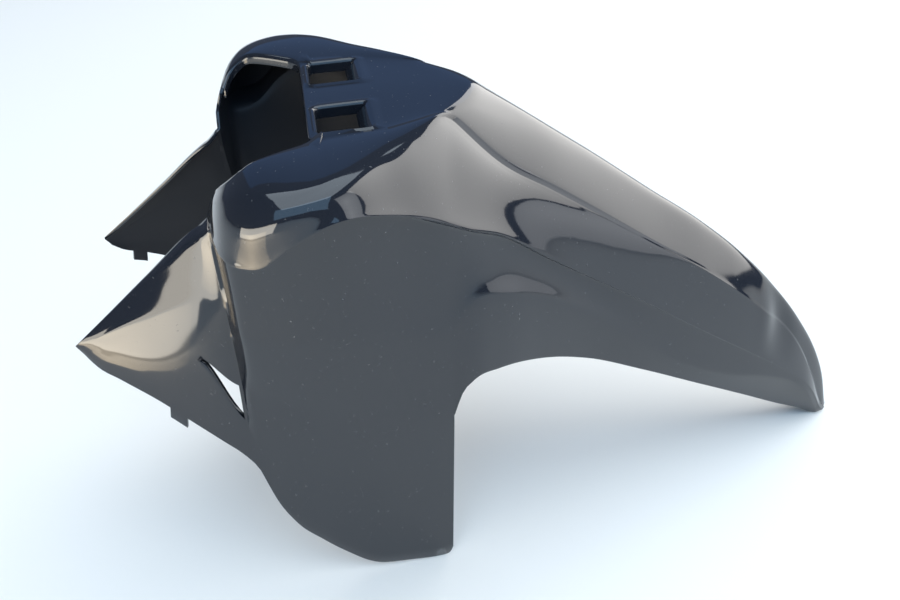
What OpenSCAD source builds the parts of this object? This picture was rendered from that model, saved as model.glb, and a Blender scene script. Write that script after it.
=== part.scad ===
// Front mudguard of a small motorcycle, moulded as one thin glossy shell.
// The shell is one lofted sheet: rails run along it from tail to nose, rows of points are spaced
// between the rails, and the sheet gets its wall by an offset along the surface normals.
// X points forward, Z up. The skirts and the nose rest on z = 0, with the box centred on the origin.

/* [Overall] */
// Reach of the nose ahead of the front edge of the skirts
nose_reach = 372; // [320:1:430]
// Reach of the rear flaps behind the front edge of the skirts
tail_reach = 228; // [200:1:270]
// Height of the deck above the bottom of the skirts
deck_height = 337; // [290:1:380]
// Width across the belt line, the widest line round the deck
shoulder_width = 268; // [240:1:300]
// Wall of the moulding
wall = 2.2; // [1.6:0.1:3]

/* [Deck] */
// Length of flat deck on the centre line ahead of the front edge of the skirts
deck_nose = 34; // [20:1:45]
// Distance from the front edge of the skirts back to the stem opening
stem_setback = 71.5; // [71:0.5:80]
// Half width of the stem opening at its front edge
stem_half = 67; // [63:1:70]
// Half width of the stem opening at its widest place
stem_half_rear = 90; // [80:1:93]
// Depth of the lip turned down around the stem opening
stem_lip = 7; // [4:0.5:12]

/* [Windows] */
// Length of each window in the deck
window_length = 31.5; // [22:0.5:33]
// Width of each window in the deck
window_width = 37; // [25:1:38]
// Width of the tongue of deck between the windows
tongue_width = 38; // [24:1:40]
// Distance from the front edge of the skirts back to the front of the windows
window_setback = 36; // [33:1:37]
// Corner radius of the windows
window_corner = 3; // [1.5:0.5:4]
// Depth of the lips turned down around the windows
window_lip = 8; // [4:0.5:12]
// Length of the sloping front wall of each window
window_ramp = 7; // [2:0.5:9]

/* [Spine panel] */
// Half width of the raised centre panel at its rear end
spine_half = 42; // [34:1:48]
// Height of the step along the edges of the centre panel
step_height = 2; // [0.8:0.1:3]
// Width of that step
step_width = 2.6; // [2:0.1:4]

/* [Skirts] */
// Length of the skirts from their front edge to the rear crease
skirt_length = 128; // [115:1:140]
// Half width across the outer faces of the skirts
skirt_half = 104; // [94:1:112]
// Height at which the front edge of the skirts turns into the wheel arch
arch_height = 146; // [120:1:165]
// Overhang of the belt line over the skirts, below the horns
horn_overhang = 18; // [8:1:22]
// How far the rounded rear ends of the horns reach behind the crease
horn_curl = 7; // [2:0.5:9]
// How far the lower front edge of the skirts stands ahead of the belt
skirt_toe = 3; // [0:0.5:5]

/* [Rear flaps] */
// Height of the flap tips above the bottom of the skirts
tip_height = 208; // [190:1:225]
// Half width across the flap tips
tip_half = 65.6; // [56:0.2:76]
// Height of the short end of each flap
tip_depth = 7; // [4:0.5:10]
// Width of the flange rolled inwards along the top of the flaps, at its front end
flap_flange = 13; // [8:0.5:16]
// Depth of the lip turned in around the vents
vent_lip = 5; // [2:0.5:7]
// Length of the clip tab on the lower edge of each flap
tab_length = 9.5; // [7:0.5:14]
// Height of the clip tab
tab_height = 8; // [4:0.5:12]

/* [Hidden] */

// Rails from the centre line outwards and down, by number; number 5 runs halfway down the sides
CREST = 0;
SPINE = 1;
EDGE = 2;
BELT = 3;
TUCK = 4;
ARCH = 6;
SILL = 7;
HEM = 8;
TAB = 9;

shoulder_half = shoulder_width / 2;
flap_length = tail_reach - skirt_length;

// Lean, steps and tucks of the sections
nose_lean = 15;
spine_lean = 0.36;
edge_lean = 0.22;
lean_end = 0.258;
lean_sag = 0.35;
side_drop = 0.5;
step_taper = 0.4;
step_sag = 1.2;
tuck_fall = 3;
tuck_in = 2;
mid_share = 0.45;
sill_out = 0.4;
side_hollow = 2.5;
toe_share = 0.6;
toe_run_front = 0.1;
toe_run_rear = 0.25;

// Places along the shell, measured forward from the front edge of the skirts
beak_length = nose_reach - nose_lean;
window_front = -window_setback;
window_rear = window_front - window_length;
window_outer = tongue_width / 2 + window_width;
stem_front = -stem_setback;
stem_flare = 38;
lip_draft = 1.2;
lip_gap = 3;
window_run = 0.22;
curl_start = 0.86;
pinch_depth = 12;

// Rows that the windows and the stem lip line up with, between the crest and the spine rail
row_inner = tongue_width / 2 / window_outer;
row_inner_corner = (tongue_width / 2 + window_corner) / window_outer;
row_outer_corner = (window_outer - window_corner) / window_outer;

// Stations of the rear end, in shares of the flap's length behind the crease
crease_gap = 0.03;
vent_front = 0.045;
vent_tip = 0.25;
curl_end = 0.14;
right_tab = 0.405;
left_tab = 0.775;
tab_share = tab_length / flap_length;

// How much of the horn's curl each rail takes, and how the flaps' edges and faces are set
curl_edge = 0.43;
curl_belt = 0.93;
curl_mid = 0.4;
tip_slip = 0.5;
tip_rise = 0.4;
brow_drop = 2;
flap_crown = 3;
skirt_rear = 0.943;

// Smooth curve through pairs of [position, value], with the slopes of its neighbours at each pair
function span(keys, t, i = 0) = i >= len(keys) - 2 || t < keys[i + 1][0] ? i : span(keys, t, i + 1);
function rise(keys, i) = (keys[i + 1][1] - keys[i][1]) / (keys[i + 1][0] - keys[i][0]);
function grade(keys, i) =
    i == 0 ? rise(keys, 0) :
    i == len(keys) - 1 ? rise(keys, i - 1) :
    let (before = keys[i][0] - keys[i - 1][0], after = keys[i + 1][0] - keys[i][0])
    (rise(keys, i - 1) * after + rise(keys, i) * before) / (before + after);
function law(keys, t) =
    let (i = span(keys, t), width = keys[i + 1][0] - keys[i][0])
    let (f = max(0, min(1, (t - keys[i][0]) / width)), g = 1 - f)
    keys[i][1] * g * g * (1 + 2 * f) + keys[i + 1][1] * f * f * (3 - 2 * f)
    + width * f * g * (grade(keys, i) * g - grade(keys, i + 1) * f);

// Arc over a span, 1 at its middle
function arc(f) = 4 * f * (1 - f);

// Beak, by the share of its length: heights in shares of the deck's height
crest_z = [[0, 1], [0.1, 0.939], [0.2, 0.882], [0.3, 0.827], [0.45, 0.737], [0.6, 0.638], [0.7, 0.552],
    [0.78, 0.462], [0.87, 0.332], [0.94, 0.195], [0.975, 0.105], [1, 0.015]];
spine_z = [[0, 0.997], [0.1, 0.893], [0.2, 0.828], [0.3, 0.76], [0.45, 0.655], [0.6, 0.55],
    [0.75, 0.417], [0.87, 0.276], [0.95, 0.12], [1, 0.012]];
belt_z = [[0, 0.861], [0.042, 0.831], [0.1, 0.796], [0.2, 0.712], [0.3, 0.635], [0.45, 0.523],
    [0.6, 0.405], [0.75, 0.29], [0.87, 0.19], [0.95, 0.1], [1, 0.009]];
// Height of the beak's lower edge, in shares of the arch's height
hem_z = [[0, 1], [0.017, 1.122], [0.04, 1.18], [0.1, 1.192], [0.2, 1.125], [0.3, 1.012], [0.45, 0.804],
    [0.6, 0.584], [0.75, 0.365], [0.87, 0.185], [0.95, 0.076], [1, 0]];
// Widths of the beak
spine_y = [[0, 1], [0.05, 1.03], [0.1, 1.03], [0.2, 0.96], [0.3, 0.87], [0.45, 0.74], [0.6, 0.6],
    [0.74, 0.46], [0.775, 0.42], [0.795, 0.28], [0.87, 0.23], [0.95, 0.19], [1, 0.12]];
belt_y = [[0, 0.71], [0.042, 0.66], [0.1, 0.575], [0.2, 0.485], [0.3, 0.42], [0.45, 0.35], [0.6, 0.28],
    [0.75, 0.21], [0.87, 0.148], [0.95, 0.105], [1, 0.066]];
fold_y = [[0, 0.93], [0.04, 0.91], [0.1, 0.845], [0.2, 0.71], [0.3, 0.6], [0.45, 0.49], [0.6, 0.395],
    [0.75, 0.29], [0.87, 0.2], [0.95, 0.145], [1, 0.085]];
hem_y = [[0, 0.985], [0.04, 0.962], [0.1, 0.89], [0.2, 0.735], [0.3, 0.605], [0.45, 0.48], [0.6, 0.365],
    [0.75, 0.25], [0.87, 0.155], [0.95, 0.1], [1, 0.072]];
chin_height = [[0, 0.183], [0.3, 0.12], [0.5, 0.06], [0.7, 0.06], [0.8, 0.085], [0.9, 0.085],
    [1, 0.002]];
// How far the crest runs ahead of the lower edge, and how high the step along the panel stands
deck_lean = [[0, 1], [0.1, 0.94], [0.2, 0.75], [0.3, 0.53], [0.45, 0.22], [0.6, 0], [1, 0]];
tip_lean = [[0, 0], [0.6, 0.05], [0.75, 0.2], [0.87, 0.55], [0.95, 0.9], [1, 1]];
step_rise = [[0, 0.1], [0.15, 0.7], [0.5, 1], [0.75, 1.2], [0.93, 1], [1, 0.2]];

// How far the deck swells up beside its openings, and the band below its edge outwards and up
deck_swell_z = [[0, 1], [0.5, 1.6], [0.86, 4], [0.95, 3], [1, 0.5]];
beak_swell_y = [[0, 3], [0.15, 3], [0.4, 1], [0.7, 0.3], [1, 0]];
beak_swell_z = [[0, 5.5], [0.15, 4], [0.4, 1.5], [0.7, 0.4], [1, 0]];
skirt_swell_y = [[0, 3], [0.2, 3], [0.5, 4], [0.75, 5], [0.9, 6], [1, 1]];
skirt_swell_z = [[0, 5.5], [0.2, 6], [0.5, 6.5], [0.75, 7], [0.9, 6], [1, 1]];

// Skirts and deck, by the share of the skirt's length behind its front edge
deck_z = [[0, 1], [0.258, 0.996], [0.559, 0.99], [0.77, 0.983], [0.86, 0.977], [0.93, 0.958],
    [0.98, 0.945], [1, 0.933]];
edge_z = [[0, 0.997], [0.3, 0.998], [0.43, 0.997], [0.6, 0.993], [0.77, 0.985], [0.86, 0.977],
    [0.93, 0.965], [0.97, 0.945], [1, 0.917]];
edge_y = [[0, 0.345], [0.15, 0.55], [0.3, 0.68], [0.43, 0.8], [0.5, 0.855], [0.6, 0.915], [0.7, 0.935],
    [0.78, 0.925], [0.86, 0.89], [0.93, 0.83], [0.97, 0.74], [1, 0.56]];
shoulder_z = [[0, 0.861], [0.182, 0.899], [0.302, 0.923], [0.482, 0.945], [0.627, 0.928],
    [0.724, 0.906], [0.8, 0.874], [0.875, 0.87], [0.94, 0.874], [1, 0.884]];
shoulder_y = [[0, 0.71], [0.182, 0.79], [0.302, 0.866], [0.482, 0.97], [0.627, 1], [0.724, 1],
    [0.8, 0.99], [0.875, 0.975], [0.94, 0.93], [0.975, 0.82], [1, 0.552]];
overhang = [[0, 0.11], [0.182, 0.35], [0.302, 0.55], [0.482, 0.85], [0.627, 1], [0.75, 1.12],
    [0.875, 1.3], [0.94, 1.1], [1, 0.14]];
tuck_drop = [[0, 3], [0.5, 3], [0.75, 5], [0.9, 7], [1, 11]];
skirt_y = [[0, 0.985], [0.15, 1], [0.35, 1.01], [0.5, 1.007], [0.7, 0.99], [0.87, 0.955], [1, 0.905]];
hem_out = [[0, -3], [0.4, -3], [0.8, 0], [1, 4]];
sill_share = [[0, 0.69], [0.5, 0.71], [1, 0.815]];
skirt_arch = [[0, 0], [0.3, 0.008], [0.6, 0.04], [1, 0.108]];
bottom_z = [[0, 0.022], [0.012, 0.008], [0.032, 0.001], [0.063, 0], [0.09, 0], [0.13, 0.0015],
    [0.2, 0.005], [0.3, 0.009], [0.36, 0.0115], [0.42, 0.017], [0.49, 0.032], [0.586, 0.065],
    [0.727, 0.121], [0.86, 0.186], [0.94, 0.255], [1, 0.342]];

// Flaps, by the share of their length behind the crease: heights in shares of the tip's height
flap_top = [[0, 1.38], [0.16, 1.341], [0.51, 1.2], [0.75, 1.101], [1, 1]];
flap_bottom = [[0, 0.56], [0.03, 0.588], [0.11, 0.647], [0.19, 0.69], [0.36, 0.77], [0.55, 0.852],
    [0.78, 0.926], [0.95, 0.975], [1, 1]];
vent_top = [[0, 0.87], [0.045, 0.88], [0.25, 0.99], [0.4, 1.02], [0.6, 1.035], [0.8, 1.025], [1, 1]];
vent_bottom = [[0, 0.73], [0.045, 0.755], [0.25, 0.973], [0.4, 0.96], [0.6, 0.96], [0.8, 0.975],
    [1, 0.985]];
// Half widths of the flaps: along the top in shares of the tip's, below in shares of the way to the skirt
brow_y = [[0, 1.09], [0.16, 1.04], [0.4, 1.015], [1, 1]];
jowl_y = [[0, 1], [0.19, 0.94], [0.36, 0.81], [0.55, 0.625], [0.78, 0.36], [0.89, 0.216], [1, 0]];

// One row of rail points for each kind of station; each point is [forward, half width, height]
function lean_at(share) = deck_nose * law(deck_lean, share);

function beak_rails(s) =
    let (c = s / beak_length, lean = lean_at(c), nod = nose_lean * law(tip_lean, c))
    let (step = step_height * law(step_rise, c), hem = arch_height * law(hem_z, c))
    let (top = law(crest_z, c) * deck_height, belt = law(belt_z, c) * deck_height)
    let (tuck = belt - tuck_fall * (1 - c), fold = hem + law(chin_height, c) * deck_height)
    let (spine = law(spine_y, c) * spine_half, drop = law(spine_z, c) * deck_height)
    let (depth = max(1, top - hem), toe = skirt_toe * max(0, 1 - c / toe_run_front))
    [
        [s + lean + nod, 0, top],
        [s + lean * spine_lean + nod * (drop - hem) / depth, spine, drop],
        [s + lean * edge_lean + nod * (drop - hem) / depth, spine + step_width * (1 - step_taper * c),
            drop - step - step_sag * c * (1 - c)],
        [s + nod * (belt - hem) / depth, law(belt_y, c) * shoulder_half, belt],
        [s + nod * (tuck - hem) / depth, law(belt_y, c) * shoulder_half - tuck_in * pow(1 - c, 2), tuck],
        [s + toe * toe_share + nod * (fold - hem) / depth, law(fold_y, c) * skirt_half, fold],
        [s + toe, law(hem_y, c) * skirt_half, hem],
        [s + toe, law(hem_y, c) * skirt_half, hem],
        [s + toe, law(hem_y, c) * skirt_half, hem]
    ];

function skirt_rails(s) =
    let (a = -s / skirt_length, run = a / lean_end)
    let (lean = deck_nose * max(0, 1 - run) * (1 - lean_sag * run))
    let (edge = law(edge_y, a) * shoulder_half, belt = law(shoulder_y, a) * shoulder_half)
    let (flare = min(1, max(0, (stem_front - s) / stem_flare)))
    let (stem = stem_half + (stem_half_rear - stem_half) * flare)
    let (curl = pow(max(0, a - curl_start) / (1 - curl_start), 2), back = horn_curl * curl)
    let (window_side = spine_half + (window_outer - spine_half) * min(1, a / window_run))
    let (side = s > window_rear - 0.1 ? window_side : stem - pinch_depth * curl * curl)
    let (tuck = law(shoulder_z, a) * deck_height - law(tuck_drop, a))
    let (under = belt - horn_overhang * law(overhang, a))
    let (arch = arch_height + law(skirt_arch, a) * deck_height, skirt = law(skirt_y, a) * skirt_half)
    let (toe = skirt_toe * max(0, 1 - a / toe_run_rear))
    [
        [s + lean, 0, law(deck_z, a) * deck_height],
        [s + lean * spine_lean, side, law(deck_z, a) * deck_height - side_drop],
        [s + lean * edge_lean - back * curl_edge, edge, law(edge_z, a) * deck_height],
        [s - back * curl_belt, belt, law(shoulder_z, a) * deck_height],
        [s - back, under, tuck],
        [s + toe * toe_share - back * curl_mid, under * mid_share + skirt * (1 - mid_share),
            tuck * mid_share + arch * (1 - mid_share)],
        [s + toe, skirt, arch],
        [s + toe, skirt + law(hem_out, a) * sill_out, arch * law(sill_share, a)],
        [s + toe, skirt + law(hem_out, a), law(bottom_z, a) * deck_height]
    ];

function flap_rails(s) =
    let (b = (-s - skirt_length) / flap_length, slip = tip_depth * tip_slip * b * b)
    let (top = law(flap_top, b) * tip_height + tip_depth * tip_rise)
    let (bottom = law(flap_bottom, b) * tip_height - tip_depth * (1 - tip_rise) * b)
    let (high = law(vent_top, b) * tip_height, low = law(vent_bottom, b) * tip_height)
    let (skirt = skirt_half * skirt_rear, crown = flap_crown * arc(b))
    let (brow = law(brow_y, b) * tip_half, jowl = tip_half + (skirt - tip_half) * law(jowl_y, b))
    let (back = horn_curl * max(0, 1 - b / curl_end), flange = flap_flange * (1 - b))
    let (face = function (x, z)
        let (f = (top - z) / max(1, top - bottom)) [x + slip * f, brow + (jowl - brow) * f + crown, z])
    [
        [s, 0, top],
        [s, 0, top],
        [s, 0, top],
        [s - back, brow - flange, top],
        [s - back, brow, top - brow_drop * (1 - b)],
        face(s - back * curl_mid, (top + high) / 2),
        face(s, high),
        face(s, low),
        [s + slip, jowl, bottom]
    ];

function rails(s) = s > 0 ? beak_rails(s) : s > -skirt_length - 0.01 ? skirt_rails(s) : flap_rails(s);

// How far the rows between two rails swell from the straight line, outwards and up
function swell(s, i, f) =
    let (c = max(0, s / beak_length), a = max(0, min(1, -s / skirt_length)), bow = arc(f))
    let (fade = s > 0 ? pow(1 - c, 1.5) : s < -skirt_length ? 0 : 1)
    i == SPINE ? [0, s > 0 ? 0 : bow * law(deck_swell_z, a)] :
    i == EDGE ? [bow * (s > 0 ? law(beak_swell_y, c) : law(skirt_swell_y, a)),
        bow * (s > 0 ? law(beak_swell_z, c) : law(skirt_swell_z, a))] :
    i == TUCK ? [-bow * side_hollow * fade, 0] :
    [0, 0];

// Share of the way between two rails, forward, in width and in height: the deck's front edge is an arc
function ease(s, i, f) = i == CREST ? [f * f, f, s > 0 ? pow(f, 1.8) : f] : [f, f, f];

function on_sheet(s, q) =
    let (i = min(HEM - 1, floor(q)), f = q - i, r = rails(s), e = ease(s, i, f), w = swell(s, i, f))
    [
        r[i][0] + (r[i + 1][0] - r[i][0]) * e[0],
        r[i][1] + (r[i + 1][1] - r[i][1]) * e[1] + w[0],
        r[i][2] + (r[i + 1][2] - r[i][2]) * e[2] + w[1]
    ];

// Stations along the shell, from the tail to the nose
flap_shares = [1, 0.96, 0.92, left_tab + tab_share, left_tab, 0.64, right_tab + tab_share, right_tab,
    0.33, vent_tip, 0.2, 0.13, 0.09, vent_front, crease_gap];
skirt_shares = [1, 0.98, 0.94, 0.9, 0.86, 0.8, 0.73, 0.66];
deck_stations = [stem_front - lip_draft - lip_gap, stem_front - lip_draft, stem_front,
    window_rear, window_rear + window_corner, (window_rear + window_front) / 2,
    window_front - window_corner, window_front, window_front * 0.66, window_front * 0.4,
    -8, -4, -1.5, 0];
beak_shares = [0.009, 0.02, 0.04, 0.067, 0.1, 0.134, 0.17, 0.21, 0.255, 0.3, 0.35, 0.4, 0.45, 0.5, 0.56,
    0.62, 0.68, 0.73, 0.775, 0.795, 0.83, 0.865, 0.9, 0.925, 0.95, 0.97, 0.985, 1];
stations = concat(
    [for (b = flap_shares) -skirt_length - flap_length * b],
    [for (a = skirt_shares) -skirt_length * a],
    deck_stations,
    [for (c = beak_shares) c * beak_length]);

half_rows = [0, row_inner / 2, row_inner, row_inner_corner, (row_inner + 1) / 2, row_outer_corner, 1,
    1.2, 1.5, 1.8, 2, 2.12, 2.35, 2.65, 2.88, 3, 4, 4.33, 4.66, 5, 5.33, 5.66, 6,
    6.18, 6.82, 7, 7.25, 7.5, 7.75, 8, TAB];
rows = concat([for (k = [len(half_rows) - 1:-1:1]) -half_rows[k]], half_rows);

flap_at = -skirt_length - flap_length * crease_gap;
vent_tip_at = -skirt_length - flap_length * vent_tip;

// Turned lips: points just inside an opening move to the foot of its lip
function in_window(s, q) = s > window_rear && s < window_front && q > row_inner && q < 1;
function in_stem(s, q) = s < stem_front && s >= -skirt_length && q < 1;
function in_vent(s, q) = s > vent_tip_at + 0.01 && s < flap_at - 0.01 && q > ARCH && q < SILL;

function lipped(s, q) =
    let (p = on_sheet(s, q))
    in_window(s, q) ?
        let (edge = on_sheet(s, q < (row_inner + 1) / 2 ? row_inner : 1))
        let (back = s < (window_rear + window_front) / 2)
        [back ? window_rear + window_corner : window_front - window_ramp,
            edge[1] + (q < (row_inner + 1) / 2 ? lip_draft : -lip_draft), edge[2] - window_lip] :
    in_stem(s, q) ?
        let (side = on_sheet(s, SPINE), front = on_sheet(stem_front, q))
        q >= row_outer_corner ? [s, side[1] - lip_draft, side[2] - stem_lip] :
        [s, front[1], front[2] - stem_lip] :
    in_vent(s, q) ?
        let (edge = on_sheet(s, q < (ARCH + SILL) / 2 ? ARCH : SILL))
        [edge[0], edge[1] - vent_lip, edge[2] + (q < (ARCH + SILL) / 2 ? -lip_draft : lip_draft)] :
    p;

function shell_point(s, q) =
    let (side = q < 0 ? -1 : 1, row = abs(q), b = (-s - skirt_length) / flap_length)
    let (start = side < 0 ? left_tab : right_tab)
    let (drop = row > HEM && b > start - 0.001 && b < start + tab_share + 0.001 ? tab_height : 0)
    let (p = row > HEM ? on_sheet(s, HEM) : lipped(s, row))
    [p[0] - drop * 0.15, -side * p[1], p[2] - drop];

// Which cells of the sheet are there: s and q are the middle of a cell
function present(s, q) =
    let (b = (-s - skirt_length) / flap_length)
    let (row = abs(q), tab = q < 0 ? left_tab : right_tab)
    row > HEM ? b > tab && b < tab + tab_share :
    s > 0 ? row < ARCH :
    s < flap_at ? row > BELT && !(row > ARCH + 0.1 && row < SILL - 0.1 && b > vent_front && b < vent_tip) :
    s < -skirt_length ? row > TUCK :
    row > 1 ? true :
    s < stem_front ? s > stem_front - lip_draft || row > row_outer_corner :
    s < window_rear || s > window_front - window_corner || row < row_inner_corner || row > row_outer_corner;

ns = len(stations);
nr = len(rows);
function cell(i, j) =
    i < 0 || j < 0 || i >= ns - 1 || j >= nr - 1 ? false :
    present((stations[i] + stations[i + 1]) / 2, (rows[j] + rows[j + 1]) / 2);

cells = [for (i = [0:ns - 2]) [for (j = [0:nr - 2]) cell(i, j)]];
function there(i, j) = i >= 0 && j >= 0 && i < ns - 1 && j < nr - 1 && cells[i][j];
outer = [for (s = stations) [for (q = rows) shell_point(s, q)]];

// Inward normal of the corner of one cell, or nothing where the cell is cut away
function corner(i, j, di, dj) =
    there(di > 0 ? i : i - 1, dj > 0 ? j : j - 1) ?
        let (n = cross(outer[i + di][j] - outer[i][j], outer[i][j + dj] - outer[i][j]) * di * dj)
        norm(n) > 0.000001 ? n / norm(n) : [0, 0, 0] :
    [0, 0, 0];
function normal(i, j) =
    let (n = (i < ns - 1 && j < nr - 1 ? corner(i, j, 1, 1) : [0, 0, 0])
        + (i > 0 && j < nr - 1 ? corner(i, j, -1, 1) : [0, 0, 0])
        + (i < ns - 1 && j > 0 ? corner(i, j, 1, -1) : [0, 0, 0])
        + (i > 0 && j > 0 ? corner(i, j, -1, -1) : [0, 0, 0]))
    norm(n) > 0.000001 ? n / norm(n) : [0, 0, 0];
normals = [for (i = [0:ns - 1]) [for (j = [0:nr - 1]) normal(i, j)]];
inner = [for (i = [0:ns - 1]) [for (j = [0:nr - 1]) outer[i][j] + wall * normals[i][j]]];

function at(i, j) = i * nr + j;
function quad(a, b, c, d) = [[a, b, c], [a, c, d]];
middle = (nr - 1) / 2;
under = ns * nr;

module mudguard_shell() {
    shift = (tail_reach - nose_reach) / 2;
    faces = [for (i = [0:ns - 2]) for (j = [0:nr - 2]) if (cells[i][j])
        let (a = at(i, j), b = at(i + 1, j), c = at(i + 1, j + 1), d = at(i, j + 1), m = j < middle)
        for (f = concat(
            m ? quad(a, b, c, d) : quad(b, c, d, a),
            m ? quad(under + a, under + d, under + c, under + b)
              : quad(under + b, under + a, under + d, under + c),
            there(i, j - 1) ? [] : quad(a, under + a, under + b, b),
            there(i, j + 1) ? [] : quad(c, under + c, under + d, d),
            there(i - 1, j) ? [] : quad(d, under + d, under + a, a),
            there(i + 1, j) ? [] : quad(b, under + b, under + c, c))) f];
    points = [for (side = [outer, inner]) for (column = side) for (p = column) p];
    color([0.05, 0.06, 0.08])
        translate([shift, 0, 0])
            polyhedron(points = points, faces = faces, convexity = 8);
}

mudguard_shell();
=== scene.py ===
"""Gloss black front mudguard of a small motorcycle: the moulding over its packed shell, and a studio."""

import math

import bmesh
import bpy
import numpy as np
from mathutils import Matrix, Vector


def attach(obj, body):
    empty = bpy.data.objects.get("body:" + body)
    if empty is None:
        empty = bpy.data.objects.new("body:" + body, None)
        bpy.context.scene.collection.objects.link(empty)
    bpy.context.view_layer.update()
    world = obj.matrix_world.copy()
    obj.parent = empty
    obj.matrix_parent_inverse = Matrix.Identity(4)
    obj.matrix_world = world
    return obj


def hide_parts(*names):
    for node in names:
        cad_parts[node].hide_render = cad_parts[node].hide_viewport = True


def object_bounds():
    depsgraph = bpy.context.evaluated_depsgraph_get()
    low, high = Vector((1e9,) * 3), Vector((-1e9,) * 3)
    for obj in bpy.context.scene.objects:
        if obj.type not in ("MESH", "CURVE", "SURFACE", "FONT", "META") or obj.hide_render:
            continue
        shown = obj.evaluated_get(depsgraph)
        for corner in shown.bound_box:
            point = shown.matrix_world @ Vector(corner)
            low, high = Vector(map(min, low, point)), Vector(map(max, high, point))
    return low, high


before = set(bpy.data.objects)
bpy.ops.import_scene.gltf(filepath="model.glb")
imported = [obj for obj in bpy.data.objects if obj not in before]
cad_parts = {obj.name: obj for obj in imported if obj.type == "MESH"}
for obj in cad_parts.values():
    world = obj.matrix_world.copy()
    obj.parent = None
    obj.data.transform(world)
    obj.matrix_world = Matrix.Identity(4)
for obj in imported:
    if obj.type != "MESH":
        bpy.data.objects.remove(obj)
shell_box = [list(corner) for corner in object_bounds()]

MM = 0.001

# Overall sizes of the moulding in millimetres, as in the part's source
NOSE_REACH = 372
TAIL_REACH = 228
DECK_HEIGHT = 337
SHOULDER_WIDTH = 268
WALL = 2.2
RIM_BEVEL = 0.5
RIM_ANGLE = 60
SMOOTH_ANGLE = 42

# Deck: how far its front bows ahead at the crest, the shares of that at the panel's edge and the deck's
# edge, the share of the skirt's length over which it fades away, and the fall from crest to panel's edge
DECK_NOSE = 34
SPINE_LEAN = 0.36
EDGE_LEAN = 0.22
LEAN_END = 0.258
LEAN_EASE = 0.35
SPINE_DROP = 0.5

# Stem opening and windows; the deck's inner side swings out from the panel to the windows over WINDOW_RUN,
# a share of the skirt's length
STEM_SETBACK = 71.5
STEM_HALF = 67
STEM_HALF_REAR = 90
STEM_FLARE = 38
STEM_LIP = 7
STEM_CORNER_REACH = 6
STEM_CORNER_TURNS = 12
STEM_SMOOTHING = 0.3
WINDOW_LENGTH = 31.5
WINDOW_WIDTH = 37
TONGUE_WIDTH = 38
WINDOW_SETBACK = 36
WINDOW_CORNER = 3
WINDOW_LIP = 8
WINDOW_RAMP = 7
RAMP_REACH = 0.5
WINDOW_BEAD = 1.2
WINDOW_RUN = 0.22
EDGE_RADIUS = 2.4

# Lips round the openings: steps of the quarter round, in radians, then of the wall, in shares of its height
LIP_TURNS = (0.5, 1, math.pi / 2)
WALL_STEPS = (0.3, 0.65, 1)

# Centre panel and the step beside it
SPINE_HALF = 42
STEP_HEIGHT = 2
STEP_WIDTH = 2.2
STEP_TAPER = 0.4
STEP_SAG = 1.2
NOSE_LEAN = 15

# Skirts: toe of the front edge, fold under the belt line, and how the bottom edge stands out
SKIRT_LENGTH = 128
SKIRT_HALF = 104
ARCH_HEIGHT = 146
SKIRT_REAR = 0.943
SKIRT_TOE = 3
TOE_END_BEAK = 0.1
TOE_END_SKIRT = 0.25
TOE_MID = 0.6
TUCK_DROP = 3
TUCK_IN = 2
TUCK_HOLLOW = 2.5
MID_SHARE = 0.45
SILL_OUT = 0.4

# Horns: overhang over the skirts, and how their rear ends curl round
HORN_OVERHANG = 18
HORN_CURL = 7
CURL_START = 0.86
CURL_END = 0.14
CURL_INSET = 12
CURL_EDGE = 0.43
CURL_BELT = 0.93
CURL_MID = 0.4

# Rear flaps, with their vents and clip tabs
TIP_HEIGHT = 208
TIP_HALF = 65.6
TIP_DEPTH = 7
TIP_ABOVE = 0.4
TIP_SLIP = 0.5
FLAP_FLANGE = 13
FLAP_FOLD = 2
FLAP_CROWN = 3
CREASE_GAP = 0.03
VENT_FRONT = 0.045
VENT_TIP = 0.25
VENT_LIP = 5
VENT_RADIUS = 0.8
VENT_TURN = 0.3
VENT_CLOSED = 0.3
RIGHT_TAB = 0.405
LEFT_TAB = 0.775
TAB_LENGTH = 9.5
TAB_HEIGHT = 8
TAB_LEAN = 0.15

# Rails from the centre line outwards and down, by number; rail 5 runs between the tuck and the arch
CREST, SPINE, EDGE, BELT, TUCK = range(5)
ARCH, SILL, HEM, TAB = range(6, 10)

SHOULDER_HALF = SHOULDER_WIDTH / 2
FLAP_LENGTH = TAIL_REACH - SKIRT_LENGTH
BEAK_LENGTH = NOSE_REACH - NOSE_LEAN
CENTRE_SHIFT = (TAIL_REACH - NOSE_REACH) / 2
WINDOW_FRONT = -WINDOW_SETBACK
WINDOW_REAR = WINDOW_FRONT - WINDOW_LENGTH
WINDOW_INNER = TONGUE_WIDTH / 2
WINDOW_OUTER = WINDOW_INNER + WINDOW_WIDTH
STEM_FRONT = -STEM_SETBACK
TAB_SHARE = TAB_LENGTH / FLAP_LENGTH

# How near a station counts as on a border, in millimetres and in shares of the flap's length
CLOSE = 0.01
CLOSE_SHARE = 0.001

# Distance between stations, in millimetres, and the borders that are always stations; those of the flaps
# are shares of their length behind the crease
FLAP_SPACING = 2.6
SKIRT_SPACING = 2.2
BEAK_SPACING = 3.4
DECK_FRONT = -6
FLAP_BORDERS = [
    1, LEFT_TAB + TAB_SHARE, LEFT_TAB, RIGHT_TAB + TAB_SHARE, RIGHT_TAB, VENT_TIP, VENT_FRONT, CREASE_GAP]
SKIRT_BORDERS = [
    -SKIRT_LENGTH, STEM_FRONT, WINDOW_REAR - EDGE_RADIUS, WINDOW_FRONT + EDGE_RADIUS, DECK_FRONT]
CREASE_STATIONS = [-4, -2.5, -1.2, 0]
BEAK_BORDERS = [0.5, 6, 60, BEAK_LENGTH - 80, BEAK_LENGTH - 12, BEAK_LENGTH]

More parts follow.
